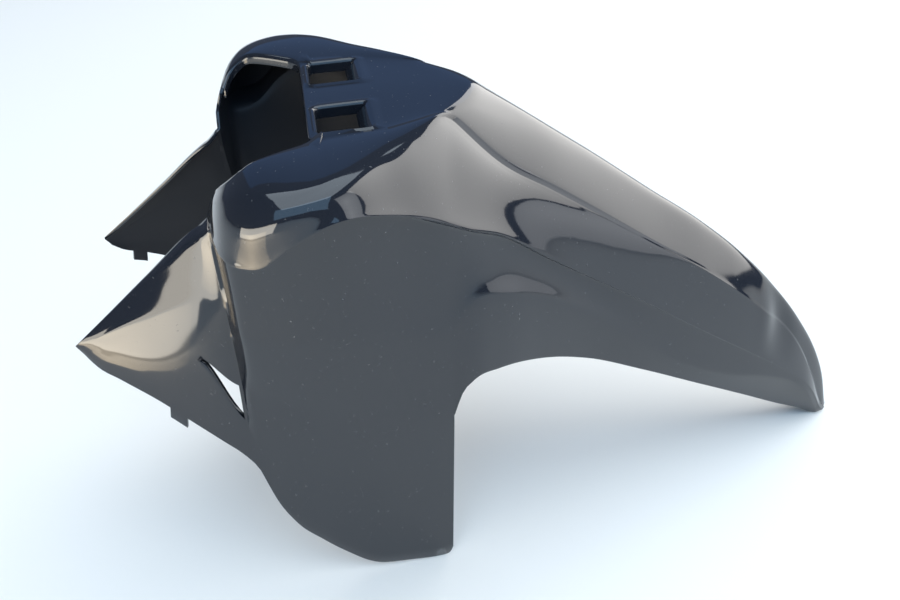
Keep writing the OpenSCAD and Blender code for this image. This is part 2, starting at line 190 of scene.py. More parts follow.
# Rows along the windows' edges; the deck's edge beside them is a share of the shoulder's half width
EDGE_BY_WINDOW = 0.62
INSIDE_WINDOW = (WINDOW_INNER - EDGE_RADIUS) / WINDOW_OUTER
OUTSIDE_WINDOW = 1 + EDGE_RADIUS / (EDGE_BY_WINDOW * SHOULDER_HALF - WINDOW_OUTER)

# Smoothing along each rail, in millimetres; a spread stays this many times smaller than the way to the
# ends, and behind the last station named here the openings' sides are left exact
RAIL_REACH = (2.5, 4, 4, 6, 6, 6)
SPREADS_KEPT = 2.5
EXACT_BEHIND = -8

# Smoothing across the shell: radius by row, more at the deck's two creases, less towards the nose
DENSE_PER_ROW = 80
LEAST_SPREAD = 0.02
EXACT_BELOW = 0.05
DECK_EASING = 4
EASING_START = 2
EASING_RUN = 14
SPINE_EASING_WIDTH = 0.35
EDGE_EASING_WIDTH = 0.3
EDGE_EASING = 1.4
NOSE_SHARPENING = 0.8
crease_radius = [
    [0, 7], [0.9, 2.5], [1, 0.7], [1.5, 1.5], [2, 1.1], [2.2, 3.5], [2.8, 3], [3, 0.9], [3.5, 1.2],
    [4, 1.3], [4.2, 4], [4.8, 4], [5, 3], [5.3, 5], [6, 6], [8, 8]]

# Share by which the smoothed shoulder is widened again, round which row, and how it fades to both ends
SHOULDER_FILL = 0.014
FILL_ROW = 2.6
FILL_WIDTH = 0.8
FILL_RUN_REAR = 20
FILL_RUN_NOSE = 120

# Fullness of the band below the deck's edge, and the factor that brings its curve's peak to 1
BAND_SHARE = 0.6
BAND_PEAK = 27 / 4

# Beak, by the share of its length: heights in shares of the deck's height
crest_z = [
    [0, 1], [0.1, 0.939], [0.2, 0.882], [0.3, 0.827], [0.45, 0.737], [0.6, 0.638], [0.7, 0.552],
    [0.78, 0.462], [0.87, 0.332], [0.94, 0.195], [0.975, 0.105], [1, 0.015]]
spine_z = [
    [0, 0.997], [0.1, 0.893], [0.2, 0.828], [0.3, 0.76], [0.45, 0.655], [0.6, 0.55], [0.75, 0.417],
    [0.87, 0.276], [0.95, 0.12], [1, 0.012]]
belt_z = [
    [0, 0.861], [0.042, 0.831], [0.1, 0.796], [0.2, 0.712], [0.3, 0.635], [0.45, 0.523], [0.6, 0.405],
    [0.75, 0.29], [0.87, 0.19], [0.95, 0.1], [1, 0.009]]
# Height of the beak's lower edge, in shares of the arch's height
hem_z = [
    [0, 1], [0.017, 1.122], [0.04, 1.18], [0.1, 1.192], [0.2, 1.125], [0.3, 1.012], [0.45, 0.804],
    [0.6, 0.584], [0.75, 0.365], [0.87, 0.185], [0.95, 0.076], [1, 0]]
# Widths of the beak
spine_y = [
    [0, 1], [0.05, 1.03], [0.1, 1.03], [0.2, 0.96], [0.3, 0.87], [0.45, 0.74], [0.6, 0.6], [0.74, 0.46],
    [0.775, 0.42], [0.795, 0.28], [0.87, 0.23], [0.95, 0.19], [1, 0.12]]
belt_y = [
    [0, 0.71], [0.042, 0.66], [0.1, 0.575], [0.2, 0.485], [0.3, 0.42], [0.45, 0.35], [0.6, 0.28],
    [0.75, 0.21], [0.87, 0.148], [0.95, 0.105], [1, 0.066]]
fold_y = [
    [0, 0.93], [0.04, 0.91], [0.1, 0.845], [0.2, 0.71], [0.3, 0.6], [0.45, 0.49], [0.6, 0.395],
    [0.75, 0.29], [0.87, 0.2], [0.95, 0.145], [1, 0.085]]
hem_y = [
    [0, 0.985], [0.04, 0.962], [0.1, 0.89], [0.2, 0.735], [0.3, 0.605], [0.45, 0.48], [0.6, 0.365],
    [0.75, 0.25], [0.87, 0.155], [0.95, 0.1], [1, 0.072]]
chin_height = [[0, 0.183], [0.3, 0.12], [0.5, 0.06], [0.7, 0.06], [0.8, 0.085], [0.9, 0.085], [1, 0.002]]
# How far the crest runs ahead of the lower edge, and how high the step along the panel stands
deck_lean = [[0, 1], [0.1, 0.94], [0.2, 0.75], [0.3, 0.53], [0.45, 0.22], [0.6, 0], [1, 0]]
tip_lean = [[0, 0], [0.6, 0.05], [0.75, 0.2], [0.87, 0.55], [0.95, 0.9], [1, 1]]
step_rise = [[0, 0.1], [0.15, 0.7], [0.5, 1], [0.75, 1.2], [0.93, 1], [1, 0.2]]

# How the panel falls beside its crest, and how far the deck and the band swell out and up, in millimetres
crown_power = [[0, 1.1], [0.5, 1.15], [0.75, 1.4], [1, 1.8]]
deck_swell_z = [[0, 1], [0.5, 1.6], [0.86, 4], [0.95, 3], [1, 0.5]]
beak_swell_y = [[0, 3], [0.15, 3], [0.4, 1], [0.7, 0.3], [1, 0]]
beak_swell_z = [[0, 5.5], [0.15, 4], [0.4, 1.5], [0.7, 0.4], [1, 0]]
skirt_swell_y = [[0, 3], [0.2, 3], [0.5, 4], [0.75, 5], [0.9, 6], [1, 1]]
skirt_swell_z = [[0, 5.5], [0.2, 6], [0.5, 6.5], [0.75, 7], [0.9, 6], [1, 1]]

# Skirts and deck, by the share of the skirt's length behind its front edge
deck_z = [
    [0, 1], [0.258, 0.996], [0.559, 0.99], [0.77, 0.983], [0.86, 0.977], [0.93, 0.958], [0.98, 0.945],
    [1, 0.933]]
edge_z = [
    [0, 0.997], [0.3, 0.998], [0.43, 0.997], [0.6, 0.993], [0.77, 0.985], [0.86, 0.977], [0.93, 0.965],
    [0.97, 0.945], [1, 0.917]]
edge_y = [
    [0, 0.345], [0.15, 0.55], [0.3, 0.68], [0.43, 0.8], [0.5, 0.855], [0.6, 0.915], [0.7, 0.935],
    [0.78, 0.925], [0.86, 0.89], [0.93, 0.83], [0.97, 0.74], [1, 0.56]]
shoulder_z = [
    [0, 0.861], [0.182, 0.899], [0.302, 0.923], [0.482, 0.945], [0.627, 0.928], [0.724, 0.906],
    [0.8, 0.874], [0.875, 0.87], [0.94, 0.874], [1, 0.884]]
shoulder_y = [
    [0, 0.71], [0.182, 0.79], [0.302, 0.866], [0.482, 0.97], [0.627, 1], [0.724, 1], [0.8, 0.99],
    [0.875, 0.975], [0.94, 0.93], [0.975, 0.82], [1, 0.552]]
overhang = [
    [0, 0.11], [0.182, 0.35], [0.302, 0.55], [0.482, 0.85], [0.627, 1], [0.75, 1.12], [0.875, 1.3],
    [0.94, 1.1], [1, 0.14]]
tuck_drop = [[0, 3], [0.5, 3], [0.75, 5], [0.9, 7], [1, 11]]
skirt_y = [[0, 0.985], [0.15, 1], [0.35, 1.01], [0.5, 1.007], [0.7, 0.99], [0.87, 0.955], [1, 0.905]]
hem_out = [[0, -3], [0.4, -3], [0.8, 0], [1, 4]]
sill_share = [[0, 0.69], [0.5, 0.71], [1, 0.815]]
skirt_arch = [[0, 0], [0.3, 0.008], [0.6, 0.04], [1, 0.108]]
bottom_z = [
    [0, 0.022], [0.012, 0.008], [0.032, 0.001], [0.063, 0], [0.09, 0], [0.13, 0.0015], [0.2, 0.005],
    [0.3, 0.009], [0.36, 0.0115], [0.42, 0.017], [0.49, 0.032], [0.586, 0.065], [0.727, 0.121],
    [0.86, 0.186], [0.94, 0.255], [1, 0.342]]

# Flaps, by the share of their length behind the crease: heights in shares of the tip's height
flap_top = [[0, 1.38], [0.16, 1.341], [0.51, 1.2], [0.75, 1.101], [1, 1]]
flap_bottom = [
    [0, 0.56], [0.03, 0.588], [0.11, 0.647], [0.19, 0.69], [0.36, 0.77], [0.55, 0.852], [0.78, 0.926],
    [0.95, 0.975], [1, 1]]
vent_top = [[0, 0.87], [0.045, 0.88], [0.25, 0.99], [0.4, 1.02], [0.6, 1.035], [0.8, 1.025], [1, 1]]
vent_bottom = [[0, 0.73], [0.045, 0.755], [0.25, 0.973], [0.4, 0.96], [0.6, 0.96], [0.8, 0.975], [1, 0.985]]
# Half widths of the flaps: along the top in shares of the tip's, below in shares of the way to the skirt
brow_y = [[0, 1.09], [0.16, 1.04], [0.4, 1.015], [1, 1]]
jowl_y = [[0, 1], [0.19, 0.94], [0.36, 0.81], [0.55, 0.625], [0.78, 0.36], [0.89, 0.216], [1, 0]]


def law(keys, t):
    """Smooth curve through pairs of position and value, at every t."""
    at = np.array([k[0] for k in keys], float)
    value = np.array([k[1] for k in keys], float)
    width = np.diff(at)
    rise = np.diff(value) / width
    slope = np.empty_like(value)
    slope[0], slope[-1] = rise[0], rise[-1]
    slope[1:-1] = (rise[:-1] * width[1:] + rise[1:] * width[:-1]) / (width[:-1] + width[1:])
    t = np.asarray(t, float)
    i = np.clip(np.searchsorted(at, t, side="right") - 1, 0, len(width) - 1)
    f = np.clip((t - at[i]) / width[i], 0, 1)
    g = 1 - f
    return (value[i] * g * g * (1 + 2 * f) + value[i + 1] * f * f * (3 - 2 * f)
            + width[i] * f * g * (slope[i] * g - slope[i + 1] * f))


def rail_points(rows, s):
    """Rails by stations by three coordinates."""
    points = [[np.broadcast_to(value, s.shape) for value in row] for row in rows]
    return np.array(points).transpose(0, 2, 1)


def beak_rails(s):
    """Rails of the part ahead of the skirts; s is the distance ahead of their front edge."""
    c = s / BEAK_LENGTH
    lean, nod = DECK_NOSE * law(deck_lean, c), NOSE_LEAN * law(tip_lean, c)
    top, hem = law(crest_z, c) * DECK_HEIGHT, ARCH_HEIGHT * law(hem_z, c)
    depth = np.maximum(1, top - hem)

    def nodding(z):
        return nod * (z - hem) / depth

    spine, drop = law(spine_y, c) * SPINE_HALF, law(spine_z, c) * DECK_HEIGHT
    step = spine + STEP_WIDTH * (1 - STEP_TAPER * c)
    under_step = drop - STEP_HEIGHT * law(step_rise, c) - STEP_SAG * c * (1 - c)
    side, belt = law(belt_y, c) * SHOULDER_HALF, law(belt_z, c) * DECK_HEIGHT
    tuck = belt - TUCK_DROP * (1 - c)
    fold = hem + law(chin_height, c) * DECK_HEIGHT
    toe = SKIRT_TOE * np.maximum(0, 1 - c / TOE_END_BEAK)
    below = (s + toe, law(hem_y, c) * SKIRT_HALF, hem)
    return rail_points([
        (s + lean + nod, 0, top),
        (s + lean * SPINE_LEAN + nodding(drop), spine, drop),
        (s + lean * EDGE_LEAN + nodding(drop), step, under_step),
        (s + nodding(belt), side, belt),
        (s + nodding(tuck), side - TUCK_IN * (1 - c) ** 2, tuck),
        (s + toe * TOE_MID + nodding(fold), law(fold_y, c) * SKIRT_HALF, fold),
        below, below, below], s)


def skirt_rails(s):
    """Rails of the part with the deck and the skirts; s falls from 0 at its front edge."""
    a = -s / SKIRT_LENGTH
    lean = DECK_NOSE * np.maximum(0, 1 - a / LEAN_END) * (1 - LEAN_EASE * a / LEAN_END)
    curl = (np.maximum(0, a - CURL_START) / (1 - CURL_START)) ** 2
    back = HORN_CURL * curl
    flare = np.clip((STEM_FRONT - s) / STEM_FLARE, 0, 1)
    stem_side = STEM_HALF + (STEM_HALF_REAR - STEM_HALF) * flare - CURL_INSET * curl ** 2
    window_side = SPINE_HALF + (WINDOW_OUTER - SPINE_HALF) * np.minimum(1, a / WINDOW_RUN)
    side = np.where(s > WINDOW_REAR, window_side, stem_side)
    deck = law(deck_z, a) * DECK_HEIGHT
    edge, belt = law(edge_y, a) * SHOULDER_HALF, law(shoulder_y, a) * SHOULDER_HALF
    shoulder = law(shoulder_z, a) * DECK_HEIGHT
    under, tuck = belt - HORN_OVERHANG * law(overhang, a), shoulder - law(tuck_drop, a)
    skirt, arch = law(skirt_y, a) * SKIRT_HALF, ARCH_HEIGHT + law(skirt_arch, a) * DECK_HEIGHT
    toe, out = SKIRT_TOE * np.maximum(0, 1 - a / TOE_END_SKIRT), law(hem_out, a)
    return rail_points([
        (s + lean, 0, deck),
        (s + lean * SPINE_LEAN, side, deck - SPINE_DROP),
        (s + lean * EDGE_LEAN - back * CURL_EDGE, edge, law(edge_z, a) * DECK_HEIGHT),
        (s - back * CURL_BELT, belt, shoulder),
        (s - back, under, tuck),
        (s + toe * TOE_MID - back * CURL_MID, under * MID_SHARE + skirt * (1 - MID_SHARE),
         tuck * MID_SHARE + arch * (1 - MID_SHARE)),
        (s + toe, skirt, arch),
        (s + toe, skirt + out * SILL_OUT, arch * law(sill_share, a)),
        (s + toe, skirt + out, law(bottom_z, a) * DECK_HEIGHT)], s)


def flap_rails(s):
    """Rails of the rear flaps; those inside the belt line fall together on the flap's upper edge."""
    b = (-s - SKIRT_LENGTH) / FLAP_LENGTH
    slip = TIP_DEPTH * TIP_SLIP * b * b
    top = law(flap_top, b) * TIP_HEIGHT + TIP_DEPTH * TIP_ABOVE
    bottom = law(flap_bottom, b) * TIP_HEIGHT - TIP_DEPTH * (1 - TIP_ABOVE) * b
    high, low = law(vent_top, b) * TIP_HEIGHT, law(vent_bottom, b) * TIP_HEIGHT
    brow = law(brow_y, b) * TIP_HALF
    jowl = TIP_HALF + (SKIRT_HALF * SKIRT_REAR - TIP_HALF) * law(jowl_y, b)
    crown, depth = FLAP_CROWN * 4 * b * (1 - b), np.maximum(1, top - bottom)
    back = HORN_CURL * np.maximum(0, 1 - b / CURL_END)

    def face(x, z):
        f = (top - z) / depth
        return x + slip * f, brow + (jowl - brow) * f + crown, z

    return rail_points([
        (s, 0, top), (s, 0, top), (s, 0, top),
        (s - back, brow - FLAP_FLANGE * (1 - b), top),
        (s - back, brow, top - FLAP_FOLD * (1 - b)),
        face(s - back * CURL_MID, (top + high) / 2),
        face(s, high),
        face(s, low),
        (s + slip, jowl, bottom)], s)


def section(rails, s, q):
    """Points of one station's section at the rows q, before the edges are rounded."""
    i = np.minimum(HEM - 1, np.floor(q).astype(int))
    f = q - i
    c, a = max(0, s / BEAK_LENGTH), max(0, min(1, -s / SKIRT_LENGTH))
    hollow = TUCK_HOLLOW * 4 * f * (1 - f)
    band = BAND_SHARE * BAND_PEAK * f * (1 - f) ** 2
    out, up = np.zeros_like(q), np.zeros_like(q)
    if s > 0:
        out += np.where(i == EDGE, band * law(beak_swell_y, c), 0)
        up += np.where(i == EDGE, band * law(beak_swell_z, c), 0)
        out -= np.where(i == TUCK, hollow * (1 - c) ** 1.5, 0)
    elif s >= -SKIRT_LENGTH:
        inner = min(rails[SPINE, 1], WINDOW_OUTER)
        across = rails[i, 1] + (rails[i + 1, 1] - rails[i, 1]) * f
        share = np.clip((across - inner) / max(1, rails[EDGE, 1] - inner), 0, 1)
        up += np.where(i == SPINE, 4 * share * (1 - share) * law(deck_swell_z, a), 0)
        out += np.where(i == EDGE, band * law(skirt_swell_y, a), 0)
        up += np.where(i == EDGE, band * law(skirt_swell_z, a), 0)
        out -= np.where(i == TUCK, hollow, 0)
    forward = np.where(i == CREST, f * f, f)
    height = np.where((i == CREST) & (s > 0), f ** law(crown_power, c), f)
    p = rails[i] + (rails[i + 1] - rails[i]) * np.stack([forward, f, height], 1)
    p[:, 1] += out
    p[:, 2] += up
    return p


def rows_of_half():
    """Rows from the centre line to the hem: close together at the creases and round the openings."""
    tongue = np.linspace(0, INSIDE_WINDOW, 7)
    window = np.linspace(INSIDE_WINDOW, 1, 20)[1:]
    rim = [OUTSIDE_WINDOW, 1.1, 1.22, 1.36, 1.5, 1.64, 1.78, 1.88, 1.95, 2]
    band = [2.03, 2.07, 2.12, 2.19, 2.27, 2.36, 2.45, 2.54, 2.63, 2.72, 2.8, 2.87, 2.92, 2.96, 2.985, 3]
    tuck = [3.25, 3.5, 3.75, 4]
    side = [4.03, 4.07, 4.13, 4.21, 4.3, 4.4, 4.5, 4.6, 4.7, 4.8, 4.88, 4.95, 5]
    chin = [5.05, 5.12, 5.22, 5.34, 5.46, 5.58, 5.7, 5.81, 5.9, 5.96, 6]
    skirt = np.concatenate([np.linspace(ARCH, SILL, 9)[1:], np.linspace(SILL, HEM, 11)[1:]])
    return np.concatenate([tongue, window, rim, band, tuck, side, chin, skirt])


def filled(borders, spacing):
    """Evenly spaced stations between the borders, none further apart than the spacing."""
    out = [borders[0]]
    for first, last in zip(borders, borders[1:]):
        steps = max(1, math.ceil(abs(last - first) / spacing))
        out += list(np.linspace(first, last, steps + 1)[1:])
    return out


# The sheet's grid: stations from the tail to the nose, rows from the left tab over the crest to the right
flap_stations = filled([-SKIRT_LENGTH - FLAP_LENGTH * b for b in FLAP_BORDERS], FLAP_SPACING)
skirt_stations = filled(SKIRT_BORDERS, SKIRT_SPACING)
beak_stations = filled(BEAK_BORDERS, BEAK_SPACING)
stations = np.array(flap_stations + skirt_stations + CREASE_STATIONS + beak_stations)
half_rows = rows_of_half()
rows = np.concatenate([[-TAB], -half_rows[:0:-1], half_rows, [TAB]])


def column(s):
    """Number of the station nearest to s."""
    return int(np.argmin(np.abs(stations - s)))


def line(q):
    """Number of the row nearest to q."""
    return int(np.argmin(np.abs(rows - q)))


def bell(t, middle, width):
    """Bell curve of height 1 round the middle."""
    return np.exp(-((t - middle) / width) ** 2)


def soften(points, s, reach):
    """Evens out one rail's curve along the shell, over about the reach, and keeps its ends in place."""
    room = np.minimum(s - s[0], s[-1] - s) / SPREADS_KEPT
    sigma = np.maximum(np.minimum(room, reach), CLOSE)
    weight = np.exp(-0.5 * ((s[:, None] - s[None, :]) / sigma[:, None]) ** 2) * np.gradient(s)
    return weight / weight.sum(1)[:, None] @ points


def rounding(s):
    """Radius, in millimetres, over which one station's section is rounded at each half row."""
    at_spine = bell(half_rows, SPINE, SPINE_EASING_WIDTH)
    at_edge = bell(half_rows, EDGE, EDGE_EASING_WIDTH)
    fade = min(1, max(0, -s - EASING_START) / EASING_RUN)
    easing = DECK_EASING * fade * (at_spine + EDGE_EASING * at_edge)
    nose_share = max(0, s / BEAK_LENGTH) ** 3
    return (law(crease_radius, half_rows) + easing) * (1 - NOSE_SHARPENING * nose_share)


def rounded_section(rails, s, low, high):
    """The section at the half rows, with its creases rounded; rows outside low and high repeat its ends."""
    q = np.linspace(low, high, (high - low) * DENSE_PER_ROW + 1)
    p = section(rails, s, q)
    if low == CREST:
        across = slice(DENSE_PER_ROW // 2, 0, -1)
        p, q = np.concatenate([p[across] * [1, -1, 1], p]), np.concatenate([-q[across], q])
    step = np.linalg.norm(np.diff(p, axis=0), axis=1)
    run = np.concatenate([[0], np.cumsum(step)])
    wanted = np.interp(np.clip(half_rows, low, high), q, run)
    before = wanted if low > CREST else np.inf
    room = np.minimum(before, run[-1] - wanted) / SPREADS_KEPT
    sigma = np.maximum(np.minimum(rounding(s), room), LEAST_SPREAD)
    weight = np.exp(-0.5 * ((wanted[:, None] - run[None, :]) / sigma[:, None]) ** 2)
    weight *= np.maximum(np.gradient(run), 1e-6)
    out = weight / weight.sum(1)[:, None] @ p
    exact = np.stack([np.interp(wanted, run, p[:, k]) for k in range(3)], 1)
    at_end = sigma < EXACT_BELOW
    out[at_end] = exact[at_end]
    return out


def half_sheet():
    """Outer face of one half of the shell: stations by half rows by three coordinates."""
    flap, beak = stations < -SKIRT_LENGTH - CLOSE, stations > CLOSE
    body = ~flap
    rails = np.zeros((HEM + 1, len(stations), 3))
    rails[:, flap] = flap_rails(stations[flap])
    rails[:, beak] = beak_rails(stations[beak])
    rails[:, body & ~beak] = skirt_rails(stations[body & ~beak])
    opening_side = rails[SPINE, :, 1].copy()
    for rail, reach in enumerate(RAIL_REACH):
        rails[rail, body] = soften(rails[rail, body], stations[body], reach)
    deck = body & (stations < EXACT_BEHIND)
    rails[SPINE, deck, 1] = opening_side[deck]
    rails[CREST, body, 1] = 0
    out = np.zeros((len(stations), len(half_rows), 3))
    for n, s in enumerate(stations):
        if s < -SKIRT_LENGTH - FLAP_LENGTH * CREASE_GAP / 2:
            low, high = BELT, HEM
        elif s < STEM_FRONT - CLOSE:
            low, high = SPINE, HEM
        elif s <= CLOSE:
            low, high = CREST, HEM
        else:
            low, high = CREST, ARCH
        out[n] = rounded_section(rails[:, n], s, low, high)
    from_rear = np.clip(1 + (stations + SKIRT_LENGTH) / FILL_RUN_REAR, 0, 1)
    from_nose = np.clip((BEAK_LENGTH - stations) / FILL_RUN_NOSE, 0, 1) ** 2
    fill = SHOULDER_FILL * (from_rear * from_nose)[:, None] * bell(half_rows, FILL_ROW, FILL_WIDTH)
    out[:, :, 1] *= 1 + fill
    return out


def present(s, q):
    """Which cells of the sheet are there; s and q are the middle of a cell."""
    b = (-s - SKIRT_LENGTH) / FLAP_LENGTH
    row, tab = abs(q), LEFT_TAB if q < 0 else RIGHT_TAB
    if row > HEM:
        return tab < b < tab + TAB_SHARE
    if s > 0:
        return row < ARCH
    if b > CREASE_GAP:
        return row > BELT and not (ARCH < row < SILL and VENT_FRONT < b < VENT_TIP)
    if s < -SKIRT_LENGTH:
        return row > TUCK
    if row > OUTSIDE_WINDOW:
        return True
    if s < STEM_FRONT:
        return row > SPINE
    along_window = WINDOW_REAR - EDGE_RADIUS < s < WINDOW_FRONT + EDGE_RADIUS
    return not (row > INSIDE_WINDOW and along_window)


def ring_of_cells(rear, front, inner, outer, side):
    """Grid places round a block of cells, once round from its rear inner corner."""
    return ([(i, inner) for i in range(rear, front)]
            + [(front, j) for j in np.arange(inner, outer, side)]
            + [(i, outer) for i in range(front, rear, -1)]
            + [(rear, j) for j in np.arange(outer, inner, -side)])


def rounded_corner(p, low, high, radius):
    """The nearest point of a rectangle with rounded corners, and the way from it into the opening."""
    centre = np.clip(p[:2], low + radius, high - radius)
    out = p[:2] - centre
    out /= max(1e-9, np.hypot(*out))
    return centre + out * radius, -out


def window_borders(sheet):
    """Sets the windows' borders in the sheet on rounded rectangles, raised to a bead."""
    rear, front = column(WINDOW_REAR - EDGE_RADIUS), column(WINDOW_FRONT + EDGE_RADIUS)
    low = np.array([WINDOW_REAR - EDGE_RADIUS, WINDOW_INNER - EDGE_RADIUS])
    high = np.array([WINDOW_FRONT + EDGE_RADIUS, WINDOW_OUTER + EDGE_RADIUS])
    borders = []
    for side in (-1, 1):
        ring = ring_of_cells(rear, front, line(side * INSIDE_WINDOW), line(side * OUTSIDE_WINDOW), side)
        into = []
        for i, j in ring:
            p = sheet[i, j] * [1, -side, 1]
            spot, inward = rounded_corner(p, low, high, WINDOW_CORNER + EDGE_RADIUS)
            sheet[i, j] = spot[0], -side * spot[1], sheet[i, j, 2] + WINDOW_BEAD
            into.append((inward[0], -side * inward[1], 0))
        borders.append((ring, into))
    return borders


def stem_border(sheet):
    """Rounds the front corners of the stem opening's border in the sheet."""
    back, stem = column(-SKIRT_LENGTH), column(STEM_FRONT)
    left, right = line(-SPINE), line(SPINE)
    ring = ([(i, left) for i in range(back, stem)] + [(stem, j) for j in range(left, right)]
            + [(i, right) for i in range(stem, back - 1, -1)])
    path = np.array([sheet[i, j] for i, j in ring])
    for turn in range(STEM_CORNER_TURNS):
        soft = path.copy()
        soft[1:-1] = path[1:-1] * (1 - 2 * STEM_SMOOTHING) + (path[:-2] + path[2:]) * STEM_SMOOTHING
        for corner in (sheet[stem, left], sheet[stem, right]):
            near = np.hypot(*(path - corner)[:, :2].T) < STEM_CORNER_REACH
            path[near] = soft[near]
    for (i, j), p in zip(ring, path):
        sheet[i, j] = p
    along = np.gradient(path, axis=0)
    into = np.stack([along[:, 1], -along[:, 0], np.zeros(len(path))], 1)
    return ring, into / np.linalg.norm(into, axis=1)[:, None]


def vent_borders(sheet):
    """Borders of the flaps' three-cornered vents, and the way from each point into its vent."""
    tip = column(-SKIRT_LENGTH - FLAP_LENGTH * VENT_TIP)
    mouth = column(-SKIRT_LENGTH - FLAP_LENGTH * VENT_FRONT)
    borders = []
    for side in (-1, 1):
        top, low = line(side * ARCH), line(side * SILL)
        ring = ring_of_cells(tip, mouth, top, low, side)
        into = []
        for i, j in ring:
            middle = (sheet[i, top] + sheet[i, low]) / 2 - sheet[i, j]
            way = middle if i != mouth else sheet[i - 1, j] - sheet[i, j]
            if i == mouth and j in (top, low):
                way = way + middle * VENT_TURN
            size = np.linalg.norm(way)
            into.append(way / size if size > VENT_CLOSED else np.zeros(3))
        borders.append((ring, into, (0, side, 0)))
    return borders


def turned_lip(bm, loop, into, down, radius, depth, closed=True):
    """Turns the edge along the loop into a lip: a quarter round, then a plain wall down to the depth."""
    quarter = [(math.sin(t), 1 - math.cos(t), 0) for t in LIP_TURNS]
    wall = [(1, 1, share) for share in WALL_STEPS]
    start = [Vector(v.co) for v in loop]
    last = loop
    for across, fall, share in quarter + wall:
        drop = radius * fall + max(0, depth - radius) * share
        ring = [bm.verts.new(p + Vector(way) * radius * across + Vector(axis) * drop)
                for p, way, axis in zip(start, into, down)]
        for k in range(len(loop) - (0 if closed else 1)):
            n = (k + 1) % len(loop)
            bm.faces.new((last[k], last[n], ring[n], ring[k]))
        last = ring


def build_shell():
    """The whole moulding's outer face: a grid bent to the sheet, with its openings cut and lipped."""
    half = half_sheet()
    left, right = half[:, :0:-1], half * [1, -1, 1]
    sheet = np.concatenate([left[:, :1], left, right, right[:, -1:]], 1)
    for i, s in enumerate(stations):
        b = (-s - SKIRT_LENGTH) / FLAP_LENGTH
        for j, tab in ((0, LEFT_TAB), (-1, RIGHT_TAB)):
            if tab - CLOSE_SHARE < b < tab + TAB_SHARE + CLOSE_SHARE:
                sheet[i, j] += [-TAB_HEIGHT * TAB_LEAN, 0, -TAB_HEIGHT]
    windows = window_borders(sheet)
    stem_ring, stem_into = stem_border(sheet)
    vents = vent_borders(sheet)

    bpy.ops.object.select_all(action="DESELECT")
    bpy.ops.mesh.primitive_grid_add(x_subdivisions=len(rows) - 1, y_subdivisions=len(stations) - 1, size=1)
    shell = bpy.context.active_object
    shell.name = shell.data.name = "front_mudguard_shell"
    bm = bmesh.new()
    bm.from_mesh(shell.data)
    bm.verts.ensure_lookup_table()
    count = len(rows)
    for vert, p in zip(bm.verts[:], sheet.reshape(-1, 3)):
        vert.co = p
    gone = []
    for face in bm.faces:
        i, j = divmod(min(v.index for v in face.verts), count)
        if not present((stations[i] + stations[i + 1]) / 2, (rows[j] + rows[j + 1]) / 2):
            gone.append(face)

    def verts_of(ring):
        return [bm.verts[i * count + j] for i, j in ring]

    window_loops = [(verts_of(ring), into) for ring, into in windows]
    stem_loop = verts_of(stem_ring)
    vent_loops = [(verts_of(ring), into, axis) for ring, into, axis in vents]
    front_wall = WINDOW_FRONT + EDGE_RADIUS - RAMP_REACH
    for loop, into in window_loops:
        down = [(-WINDOW_RAMP / WINDOW_LIP if v.co.x > front_wall else 0, 0, -1) for v in loop]
        turned_lip(bm, loop, into, down, EDGE_RADIUS, WINDOW_LIP)
    turned_lip(bm, stem_loop, stem_into, [(0, 0, -1)] * len(stem_loop), EDGE_RADIUS, STEM_LIP, closed=False)
    for loop, into, axis in vent_loops:
        turned_lip(bm, loop, into, [axis] * len(loop), VENT_RADIUS, VENT_LIP)
    bmesh.ops.delete(bm, geom=gone, context="FACES")
    bmesh.ops.translate(bm, verts=bm.verts, vec=(CENTRE_SHIFT, 0, 0))
    bmesh.ops.scale(bm, verts=bm.verts, vec=(MM, MM, MM))
    bmesh.ops.recalc_face_normals(bm, faces=bm.faces)
    top_face = max(bm.faces, key=lambda f: f.calc_center_median().z)
    if top_face.normal.z < 0:
        bmesh.ops.reverse_faces(bm, faces=bm.faces)
    bm.to_mesh(shell.data)
    bm.free()
    return shell


def apply_modifier(obj, kind, name, **settings):
    """Gives the object a modifier with these settings and applies it."""
    modifier = obj.modifiers.new(name, kind)
    for key, value in settings.items():
        setattr(modifier, key, value)
    bpy.ops.object.select_all(action="DESELECT")
    bpy.context.view_layer.objects.active = obj
    obj.select_set(True)
    bpy.ops.object.modifier_apply(modifier=modifier.name)


def keep_inside(obj, box):
    """Moves the few points that stand outside the box onto its sides."""
    co = np.empty(len(obj.data.vertices) * 3)
    obj.data.vertices.foreach_get("co", co)
    co = np.clip(co.reshape(-1, 3), box[0], box[1])
    obj.data.vertices.foreach_set("co", co.ravel())
    obj.data.update()


def material(name):
    """A new material with its shader node."""
    mat = bpy.data.materials.new(name)
    mat.use_nodes = True
    return mat, mat.node_tree.nodes["Principled BSDF"]


def noise(mat, scale, detail):
    """A noise texture in the object's own coordinates."""
    nodes, links = mat.node_tree.nodes, mat.node_tree.links
    coords = nodes.get("Texture Coordinate") or nodes.new("ShaderNodeTexCoord")
    texture = nodes.new("ShaderNodeTexNoise")
    texture.inputs["Scale"].default_value = scale
    texture.inputs["Detail"].default_value = detail
    links.new(coords.outputs["Object"], texture.inputs["Vector"])
    return texture.outputs["Fac"]


def ranged(mat, source, **ends):
    """The source brought to another range, by the map range node's ends."""
    node = mat.node_tree.nodes.new("ShaderNodeMapRange")
    for key, value in ends.items():
        node.inputs[key.replace("_", " ").title()].default_value = value
    mat.node_tree.links.new(source, node.inputs["Value"])
    return node.outputs["Result"]


def between(mat, source, dark, light):
    """A colour between two, by the source."""
    node = mat.node_tree.nodes.new("ShaderNodeMix")
    node.data_type = "RGBA"
    node.inputs["A"].default_value = (*dark, 1)
    node.inputs["B"].default_value = (*light, 1)
    mat.node_tree.links.new(source, node.inputs["Factor"])
    return node.outputs["Result"]


